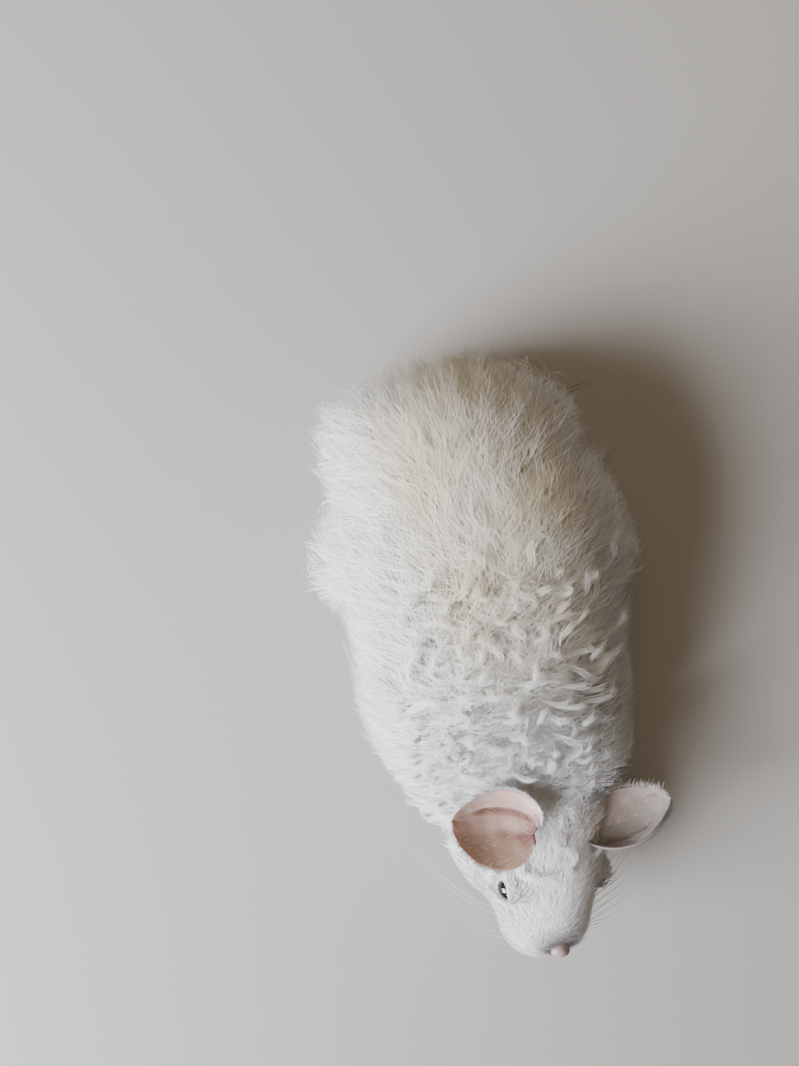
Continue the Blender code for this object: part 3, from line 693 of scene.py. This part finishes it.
def tufts(name, lines, ways, width, roots_on_unwrap, finish, softness=0.0, crest=0.55):
    """One mesh of closed three-sided tufts, thin and pointed, laid flat side out. Softness turns their
    shading towards that of the coat as a whole."""
    count, rings = lines.shape[0], lines.shape[1] - 1
    run = unit(np.gradient(lines, axis=1))
    across = unit(np.cross(run, ways))
    up = np.cross(across, run)
    slim = np.interp(np.linspace(0, 1, rings, endpoint=False), np.linspace(0, 0.8, 5), TAPER)
    w = width[:, None, None] * slim[None, :, None]
    middle = lines[:, :rings]
    ring = np.stack([middle - across[:, :rings] * w, middle + across[:, :rings] * w,
                     middle + up[:, :rings] * w * crest], 2).reshape(count, rings * 3, 3)
    points = np.concatenate([ring, lines[:, rings:]], 1)
    one = [(0, 1, 2)]
    for j in range(rings - 1):
        for k in range(3):
            m = (k + 1) % 3
            one += [(3 * j + k, 3 * j + 3 + k, 3 * j + 3 + m), (3 * j + k, 3 * j + 3 + m, 3 * j + m)]
    one += [(3 * rings - 3 + k, 3 * rings, 3 * rings - 3 + (k + 1) % 3) for k in range(3)]
    one = np.array(one)
    each = rings * 3 + 1
    faces = (one[None] + np.arange(count)[:, None, None] * each).reshape(-1, 3)
    tip = np.append(np.repeat(np.arange(rings) / rings, 3), 1.0)
    corner = np.append(np.tile([-0.5, 0.5, 0.0], rings), 0.0)
    patch = np.stack([corner, tip - 0.5], 1) * PATCH
    spots = (roots_on_unwrap[:, None] + patch[None]).reshape(-1, 2)
    piece = made_from(name, points.reshape(-1, 3), faces)
    piece.data.uv_layers.new(name="OFBake").data.foreach_set("uv", spots[faces.ravel()].ravel())
    store(piece, tip=np.tile(tip, count), shade=np.repeat(rng.random(count), each))
    piece.data.shade_smooth()
    if softness:
        _, own_way, _ = mesh_arrays(piece)
        whole = np.concatenate([np.repeat(ways[:, :rings], 3, axis=1), ways[:, rings:]], 1).reshape(-1, 3)
        piece.data.normals_split_custom_set_from_vertices(unit(own_way * (1 - softness) + whole * softness))
    piece.data.materials.append(finish)
    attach(piece, "root")


def share_out(name, lines, ways, width, spots, finish, softness, each=TUFTS_IN_PIECE):
    """The same, in as many pieces as keep each one small enough."""
    pieces = math.ceil(len(lines) / each)
    for k, part in enumerate(np.array_split(np.arange(len(lines)), pieces)):
        tufts(f"{name}_{k + 1}", lines[part], ways[part], width[part], spots[part], finish, softness)


# White hair: a soft, dull, slightly warm white, creamier over the rump (partly its own cream, partly
# painted shade), greyer at the roots (painted shade deep in the coat) and grey round the nose (partly
# thin fur, partly painted shade).
CREAM_SHADE_FROM, CREAM_SHADE_TO, CREAM_SHADE_CENTRE, CREAM_SHADE_HALF, CREAM_SHADE_EDGE = -30 * MM, 35 * MM, 3 * MM, 9 * MM, 26 * MM
coat_finish, add, shader, place = principled("white_hair", Roughness=0.7, IOR=1.5, Specular_IOR_Level=0.3,
                                             Sheen_Weight=0.35, Sheen_Roughness=0.6)
tip, own_shade = (add("Attribute", {}, attribute_name=key).outputs["Fac"] for key in ("tip", "shade"))
axes = add("SeparateXYZ", {"Vector": place})
clouds = add("TexNoise", {"Vector": place, "Scale": 1 / (14 * MM), "Detail": 3.0})
off_middle = add("Math", {0: axes.outputs["X"], 1: CREAM_SHADE_CENTRE}, operation="SUBTRACT")
off_middle = add("Math", {0: off_middle.outputs[0]}, operation="ABSOLUTE")
cloudy, rearward, inward, root_shade, varied = (
    add("MapRange", {"Value": value, "From Min": a, "From Max": b, "To Min": c, "To Max": d},
        interpolation_type=kind).outputs["Result"]
    for value, a, b, c, d, kind in (
        (clouds.outputs["Fac"], 0.35, 0.65, 0.6, 1.0, "LINEAR"),
        (axes.outputs["Y"], CREAM_SHADE_FROM, CREAM_SHADE_TO, 0.0, 1.0, "SMOOTHSTEP"),
        (off_middle.outputs[0], CREAM_SHADE_HALF, CREAM_SHADE_EDGE, 1.0, 0.0, "SMOOTHSTEP"),
        (tip, 0.0, 0.55, 0.95, 1.0, "LINEAR"), (own_shade, 0.0, 1.0, 0.95, 1.0, "LINEAR")))
# The cream over the middle of the rump is partly the coat's own and partly painted shade.
cream_and_shade = add("Math", {0: rearward, 1: cloudy}, operation="MULTIPLY").outputs[0]
cream_and_shade = add("Math", {0: cream_and_shade, 1: inward}, operation="MULTIPLY").outputs[0]
base = linear("#F7F6F5")
# Round the nose the hair greys: partly thin fur, partly painted shade.
for share, colour in ((cream_and_shade, "#E7D8B8"), (nose_patch_and_shade(add, place), "#847A78")):
    base = add("Mix", {"Factor": share, 6: base, 7: linear(colour)}, data_type="RGBA").outputs[2]
# The darker roots are painted shade deep in the coat.
dimmed = add("Math", {0: root_shade, 1: varied}, operation="MULTIPLY").outputs[0]
hair_tone = add("VectorMath", {0: base, "Scale": dimmed}, operation="SCALE")
plug(shader, {"Base Color": hair_tone.outputs["Vector"]})


def curly(points, facing):
    """How far a place belongs to the shoulders and nape, where the coat breaks into wavy locks."""
    x, y, _ = points.T
    across, along = 0.951 * x - 0.309 * y, 0.309 * x + 0.951 * y
    zone = ramp(across, -19, -11) * (1 - ramp(across, 10, 17))
    return zone * (1 - ramp(along, 10, 24)) * ramp(along, -44, -36) * ramp(facing[:, 2], 0.1, 0.5)


# Long soft coat of trunk and haunches, in loose clumps of four. Some clumps are wisps: longer,
# drawn to a point, and standing out of the coat, most of them on the rump and the skirt.
IN_CLUMP, CLUMP_SPREAD, COAT_THINNED = 4, 0.6, 0.74
WISP_SHARE, WISP_HEIGHT, WISP_REACH, WISP_TIP = 0.26, 1.25, 1.2, 0.1
SWIRL = 0.3
head_like = belongs("head", "jaw", "tail", "foreleg_left", "foreleg_right", *FOOT)
long_coat = ~head_like * (0.65 + 0.35 * ramp(skin_normals[:, 2], -0.4, 0.1))
crowded = 1 + 0.3 * curly(skin_points, skin_normals)
place_at, facing, field, own_at, _ = sow(fields[:, 3] * long_coat * COAT_THINNED * crowded / IN_CLUMP)
x, y, _ = place_at.T
count = len(place_at)
curl = curly(place_at, facing)
wispy = np.maximum(ramp(y, 15, 55), 0.8 * ramp(np.abs(x), 17, 26))
wispy = np.maximum(wispy * (y > -12), 0.25) * (1 - 0.9 * ramp(facing[:, 2], 0.45, 0.8))
wisp = rng.random(count) < WISP_SHARE * wispy
swirl = SWIRL * np.sin(x * 0.23 + 2 * np.sin(y * 0.13)) * np.sin(y * 0.19 + 1)
lie = turned_by(lie_of_coat(place_at, facing, own_at), facing, swirl)
height = field[:, 0] * (0.55 + 0.5 * rng.random(count)) * (1 - 0.28 * curl) * np.where(wisp, WISP_HEIGHT, 1)
reach = field[:, 1] * (0.55 + 0.7 * rng.random(count)) * (1 - 0.35 * curl) * np.where(wisp, WISP_REACH, 1)
sway = reach * (0.45 + 0.2 * curl) * rng.standard_normal(count)
guides = centre_lines(place_at, facing, lie, height, reach, sway, 0.55 + 0.4 * curl, 0.8, 3)
grow = np.repeat(np.arange(count), IN_CLUMP)
off = rng.standard_normal((len(grow), 2)) * CLUMP_SPREAD
off = np.cross(facing, lie)[grow] * off[:, :1] + lie[grow] * off[:, 1:]
steps = np.linspace(0, 1, 4)
gather = 1 + (np.where(wisp, WISP_TIP, 1.0)[grow] - 1)[:, None, None] * steps[None, :, None]
stray = rng.standard_normal((len(grow), 3)) * np.where(wisp[grow], 0.3, 1.0)[:, None]
lines = (guides[grow] + off[:, None] * gather
         + stray[:, None] * (steps**1.4)[None, :, None] * (0.5 + 0.15 * field[grow, :1])[:, None])
proud = 0.12 * field[:, 0] * rng.random(count) ** 4
proud = proud + np.where(wisp, 0.4 + 0.24 * field[:, 0] * rng.random(count), 0)
lines, ways = kept_in(lines, 0.1 + 0.7 * rng.random(len(lines)) ** 2 + proud[grow])
width = field[grow, 2] * (0.7 + 0.5 * rng.random(len(lines)))
spots = unwrapped(place_at[grow] + off)
order = np.argsort(y[grow], kind="stable")
share_out("long_coat", lines[order], ways[order], width[order], spots[order], coat_finish, softness=0.9)

# Loose single hairs, finer than the rest, that stand a little out of the coat and soften its outline.
LOOSE_WIDTH, LOOSE_LIFT = 0.045, 0.8
place_at, facing, field, own_at, _ = sow((0.5 + 0.5 * ramp(skin_normals[:, 2], 0.1, 0.6)) * long_coat)
lie = lie_of_coat(place_at, facing, own_at)
count = len(place_at)
height = field[:, 0] * (0.9 + 0.3 * rng.random(count)) + LOOSE_LIFT
reach = field[:, 1] * (0.3 + 0.6 * rng.random(count))
sway = reach * 0.9 * rng.standard_normal(count)
lines = centre_lines(place_at, facing, lie, height, reach, sway, np.full(count, 0.5), 0.7, 3)
loose = (0.4 + 0.22 * field[:, 0]) * rng.random(count) ** 1.5
lines, ways = kept_in(lines, 0.3 + loose)
width = LOOSE_WIDTH * (0.7 + 0.6 * rng.random(count))
share_out("loose_hair", lines, ways, width, unwrapped(place_at), coat_finish, softness=0.7)

# Wavy locks on the shoulders and the nape: each is one clump of hair that curves like a C or an S.
LOCK_SPACING, IN_LOCK, LOCK_RINGS, LOCK_HAIRS_IN_PIECE = 2.8, 30, 7, 4800
LOCK_WIDTH = ((0, 1.4), (0.25, 0.85), (0.55, 0.62), (0.8, 0.4), (1, 0.08))  # half width from root to tip
LOCK_HAIR = 0.07
place_at, facing, field, own_at, _ = sow(curly(skin_points, skin_normals) * 1.2)
kept = []
for k in rng.permutation(len(place_at)):
    if all((place_at[k] - place_at[m]) @ (place_at[k] - place_at[m]) > LOCK_SPACING**2 for m in kept):
        kept.append(k)
place_at, facing, field, own_at = place_at[kept], facing[kept], field[kept], own_at[kept]
count = len(kept)
lie = turned_by(lie_of_coat(place_at, facing, own_at), facing, np.radians(30) * rng.standard_normal(count))
side = np.cross(facing, lie)
reach = 3.8 + 5.0 * rng.random(count) ** 1.6
height = np.maximum(field[:, 0] * 1.05 + 0.3, 2.0)
s = (np.arange(LOCK_RINGS) + 0.5)[None] / LOCK_RINGS
turns = 0.45 + 0.5 * rng.random(count)[:, None]
heading = (np.radians(35 + 40 * rng.random(count))[:, None]
           * np.sin(math.tau * (turns * s + rng.random(count)[:, None])))[..., None]
step = lie[:, None] * np.cos(heading) + side[:, None] * np.sin(heading)
step = step * (reach / LOCK_RINGS)[:, None, None]
steps = np.linspace(0, 1, LOCK_RINGS + 1)
s = steps[None, :, None]
guides = (place_at[:, None] + np.concatenate([np.zeros((count, 1, 3)), np.cumsum(step, axis=1)], 1)
          + facing[:, None] * (height[:, None, None] * (1 - (1 - s) ** 2.2) - SINK * (1 - s)))
guides, ways = kept_in(guides, 0.2 + 0.9 * rng.random(count) + 0.6 * (field[:, 0] < 2))
run = unit(np.gradient(guides, axis=1))
beside = unit(np.cross(run, ways))
above = np.cross(beside, run)
grow = np.repeat(np.arange(count), IN_LOCK)
angle, far = math.tau * rng.random(len(grow)), np.sqrt(rng.random(len(grow)))
spread = np.interp(steps, *zip(*LOCK_WIDTH))[None, :, None] * (0.6 + 0.4 * reach / 7)[grow, None, None]
lines = (guides[grow] + beside[grow] * (np.cos(angle) * far)[:, None, None] * spread
         + above[grow] * (0.6 * np.sin(angle) * far)[:, None, None] * spread
         + (rng.standard_normal((len(grow), 3)) * 0.45)[:, None] * (steps**1.5)[None, :, None]
         + run[grow] * (rng.standard_normal(len(grow)) * 0.5)[:, None, None] * s)
lines[..., 2] = np.maximum(lines[..., 2], CLEAR_OF_FLOOR)
width = LOCK_HAIR * (0.75 + 0.5 * rng.random(len(lines)))
share_out("wavy_locks", lines, ways[grow], width, unwrapped(place_at[grow]), coat_finish, softness=0.62,
          each=LOCK_HAIRS_IN_PIECE)

# Short smooth fur of head, jaw and forelegs, and the sparse hairs of the feet and tail. Hairs start
# a little outside each eye's opening and just inside the edge of the nose pad.
LASH_EDGE, NOSE_EDGE = 1.22, 0.88
on_nape = belongs("neck") * (1 - ramp(skin_points[:, 1], -22, -16)) * ramp(skin_normals[:, 2], 0.0, 0.4)
place_at, facing, field, own_at, part_at = sow(fields[:, 3] * (head_like + on_nape))
clear = np.linalg.norm((place_at - nose_at) @ head_axes().T / NOSE_HALF, axis=1) > NOSE_EDGE
for eye in gazes:
    share, far, _ = past_opening(place_at, eye)
    clear &= (share > LASH_EDGE) | (far > EYE_RADIUS + 2)
place_at, facing, field, own_at, part_at = (v[clear] for v in (place_at, facing, field, own_at, part_at))
count = len(place_at)
height = field[:, 0] * (0.6 + 0.6 * rng.random(count))
# Between the ears the fur is longer, and there and on the nape it is tousled.
crowned = (1 - ramp(-own_at[:, 1], -1, 8)) * ramp(facing[:, 2], 0.1, 0.6) * (part_at == FLESH.index("head"))
height *= 1 + 1.4 * crowned
tousled = np.maximum(crowned, part_at == FLESH.index("neck"))
turned = np.radians(48) * (tousled * rng.standard_normal(count))
lie = turned_by(lie_of_coat(place_at, facing, own_at), facing, turned)
reach = field[:, 1] * (0.7 + 0.5 * rng.random(count)) * (1 + 0.7 * crowned)
sway = reach * (0.18 + 0.3 * tousled) * rng.standard_normal(count)
lines = centre_lines(place_at, facing, lie, height, reach, sway, np.full(count, 0.05), 1.0, 3)
slack = 0.1 + 0.35 * rng.random(count) + 1.1 * crowned * rng.random(count)
for middle, hollow, more in [(eye[0], EYE_RADIUS + 3.4, 0.4) for eye in gazes] + [(nose_centre, 3.6, 0.7)]:
    slack += more * (1 - ramp(np.linalg.norm(place_at - middle, axis=1), hollow - 1, hollow))
lines, ways = kept_in(lines, slack)

# Fur over the lids, rooted on them and combed away from the opening.
LID_HAIRS, LID_HAIR = 900, 0.06
lid_facing = []
for eye in gazes:
    turn = math.tau * rng.random(LID_HAIRS)
    lid_facing.append(round_opening(eye, turn, np.radians(6 + 34 * rng.random(LID_HAIRS))))
lid_roots = np.concatenate([eye[0] + ray * (EYE_RADIUS + 0.5) for eye, ray in zip(gazes, lid_facing)])
lid_facing = unit(np.concatenate(lid_facing))
count = len(lid_roots)
lie = lie_of_coat(lid_roots, lid_facing, (lid_roots - np.array(HEAD_BACK)) @ head_axes().T)
height, reach = 0.35 + 0.25 * rng.random(count), 1.1 + 0.7 * rng.random(count)
sway = 0.2 * rng.standard_normal(count)
lid_lines = centre_lines(lid_roots, lid_facing, lie, height, reach, sway, np.full(count, 0.03), 1.0, 3)
lines = np.concatenate([lines, lid_lines])
ways = np.concatenate([ways, np.repeat(lid_facing[:, None], 4, 1)])
roots_at = np.concatenate([place_at, lid_roots])
width = np.concatenate([field[:, 2], np.full(count, LID_HAIR)]) * (0.8 + 0.4 * rng.random(len(lines)))
# No hair crosses the open part of an eye.
for eye in gazes:
    share, far, _ = past_opening(lines, eye)
    keep = ~((share < 1.05) & (far < EYE_RADIUS + 3)).any(1)
    lines, ways, roots_at, width = lines[keep], ways[keep], roots_at[keep], width[keep]
share_out("short_fur", lines, ways, width, unwrapped(roots_at), coat_finish, softness=0.6)

# Fine short hairs on both ears, pointing to their edges: sparse in the hollow of the right one,
# denser in the left one and on both backs, and a fringe along the rims.
EAR_HAIR = {"ear_right": (1.2, 3.4, 700), "ear_left": (8.0, 4.0, 240)}  # a mm2 in front and behind, fringe
EAR_HAIR_WIDTH, FRINGE_WIDTH = 0.035, 0.03
EAR_AREA = EAR_LENGTH * EAR_WIDTH * 0.7

# Hair of the left ear: the white hair in painted shade, grey, dull as the coat, mottled every few
# millimetres.
shaded_ear_hair_finish = mottled("white_hair_in_painted_shade", 3 * MM, "#8C847C", "#B4ADA5", Roughness=0.7, IOR=1.5,
                      Specular_IOR_Level=0.3)
for (ear_name, *_), (_, sheet, up, tip_way), hair_finish in zip(EARS, ears, (coat_finish, shaded_ear_hair_finish)):
    hairs = []  # root, way out, way it lies, length and half width
    grid_run, grid_over = np.gradient(sheet, axis=0), np.gradient(sheet, axis=1)
    outwards = unit(np.cross(grid_over, grid_run))
    outwards *= np.sign((outwards * up).sum(-1, keepdims=True))
    hollow, behind, fringe = EAR_HAIR[ear_name]
    for density, turn_over in ((hollow, 1), (behind, -1)):
        count = int(EAR_AREA * density)
        i, j = rng.random(count) * 0.93 * EAR_ROWS, rng.random(count) * EAR_COLUMNS
        a, b = i.astype(int), np.minimum(j.astype(int), EAR_COLUMNS - 1)
        at = (sheet[a, b] + (i - a)[:, None] * (sheet[a + 1, b] - sheet[a, b])
              + (j - b)[:, None] * (sheet[a, b + 1] - sheet[a, b]))
        edgewards = grid_over[a, b] * ((j / EAR_COLUMNS * 2 - 1) * 2)[:, None]
        hairs.append((at - (up * EAR_WALL if turn_over < 0 else 0), outwards[a, b] * turn_over,
                      unit(unit(grid_run[a, b]) + edgewards + 0.25 * rng.standard_normal((count, 3))),
                      0.9 + 1.1 * rng.random(count), np.full(count, EAR_HAIR_WIDTH)))
    rim_at = rng.random(fringe) * 0.97 * EAR_ROWS
    side_of = rng.choice([0, EAR_COLUMNS], fringe)
    i = rim_at.astype(int)
    at = sheet[i, side_of] + (rim_at - i)[:, None] * (sheet[i + 1, side_of] - sheet[i, side_of])
    outer_way = unit(sheet[i, side_of] - sheet[i, EAR_COLUMNS // 2])
    longer = np.where(outer_way[:, 1] > 0.2, 1.5, 1.0)  # along the rear rim
    hairs.append((at - up * EAR_WALL * 0.4 * rng.random(fringe)[:, None], outwards[i, side_of],
                  unit(outer_way + 1.6 * tip_way + 0.45 * rng.standard_normal((fringe, 3))),
                  (0.5 + 1.3 * rng.random(fringe) ** 1.5) * longer, np.full(fringe, FRINGE_WIDTH)))
    roots, facing, lie, lengths, width = (np.concatenate(v) for v in zip(*hairs))
    lie = unit(lie - facing * (lie * facing).sum(1)[:, None])
    s = np.linspace(0, 1, 4)[None, :, None]
    lines = (roots[:, None] + lie[:, None] * lengths[:, None, None] * s
             + facing[:, None] * (0.22 * lengths[:, None, None] * s * (1.3 - s) - 0.05))
    tufts(ear_name + "_hair", lines, np.repeat(facing[:, None], 4, 1), width, unwrapped(roots), hair_finish,
          softness=0.6)

# -------------------- whiskers
# Fine white whiskers, thick at the root and drawn out to nothing, in rows on both sides of the muzzle.
WHISKER_ROWS, IN_ROW, WHISKER_WIDTH = 4, 6, 0.055
whiskers = []  # root, the way it points and its length
for side in (-1, 1):
    for row in range(WHISKER_ROWS):
        for k in range(IN_ROW):
            aim = in_head(27.6 - 1.3 * k, side * (8.2 + 0.45 * k), 1.6 - 1.4 * row)
            _, near, _, _ = outer_tree.find_nearest(aim)
            hit, near, _, _ = outer_tree.find_nearest(aim + near * 0.1)
            out = in_head(-1.2 - 0.9 * k, side * (8.0 - 0.3 * k), 2.6 - 2.1 * row) - in_head(0, 0, 0)
            out = (out.normalized() + near * 0.4).normalized()
            whiskers.append((hit - near * 0.8, out, 9 + 2.0 * k + 2.0 * rng.random()))
roots, outs, lengths = (np.array(v) for v in zip(*whiskers))
lengths = lengths[:, None, None]
s = np.linspace(0, 1, 9)[None, :, None]
droop = head_axes()[1] * 0.28 + np.array((0, 0, -0.16))
lines = roots[:, None] + outs[:, None] * lengths * s + droop * lengths * s**2
lines[..., 2] = np.maximum(lines[..., 2], CLEAR_OF_FLOOR)
ways = np.broadcast_to(np.array((0, 0, 1.0)), lines.shape)

# Whisker hair: stiffer and glossier than the coat, white with faint streaks.
whisker_finish = mottled("whisker_hair", 3 * MM, "#F4F1EC", "#D8D2CA", Roughness=0.35, IOR=1.55)
width = np.full(len(roots), WHISKER_WIDTH)
tufts("whiskers", lines, ways, width, unwrapped(roots), whisker_finish, crest=1.2)

# -------------------- floor, light and camera
# A plain pale floor and soft studio light from the animal's right, high up, with the camera almost
# straight above it.
floor = new_primitive("floor", bpy.ops.mesh.primitive_plane_add, size=4.0)
floor_finish, *_ = principled("studio_floor", Roughness=0.9, Base_Color=linear("#ACA69E"))
floor.data.materials.append(floor_finish)

LEAN, TILT, LENS = math.radians(18), math.radians(6), 26.17
CAMERA_AT = Vector((-7.624, 48.603, 178.0))
to_right = Vector((math.cos(LEAN), -math.sin(LEAN), 0))
level = Vector((-math.sin(LEAN), -math.cos(LEAN), 0))
looks = level * math.sin(TILT) - Vector((0, 0, 1)) * math.cos(TILT)
ups = to_right.cross(looks)
camera = bpy.data.objects.new("camera", bpy.data.cameras.new("camera"))
camera.data.sensor_width = 36.0
camera.data.lens = LENS
camera.data.clip_start = 5 * MM
camera.matrix_world = Matrix((to_right, ups, -looks)).transposed().to_4x4()
camera.location = CAMERA_AT * MM
bpy.context.scene.collection.objects.link(camera)
bpy.context.scene.camera = camera


def panel(name, place, size, power, tint):
    """A soft square light that faces the animal."""
    light = bpy.data.objects.new(name, bpy.data.lights.new(name, "AREA"))
    light.data.size = size
    light.data.energy = power
    light.data.color = linear(tint)[:3]
    light.location = place
    light.rotation_euler = (Vector((0, 0, 0.02)) - light.location).to_track_quat("-Z", "Y").to_euler()
    bpy.context.scene.collection.objects.link(light)


panel("key", (-0.50, -0.02, 0.31), 0.38, 13.6, "#ECF3FF")
panel("fill", (0.02, 0.28, 0.52), 0.40, 0.9, "#FFE7C4")
world = bpy.data.worlds.new("studio")
world.use_nodes = True
world.node_tree.nodes["Background"].inputs["Color"].default_value = linear("#BDBBB8")
world.node_tree.nodes["Background"].inputs["Strength"].default_value = 0.13
bpy.context.scene.world = world
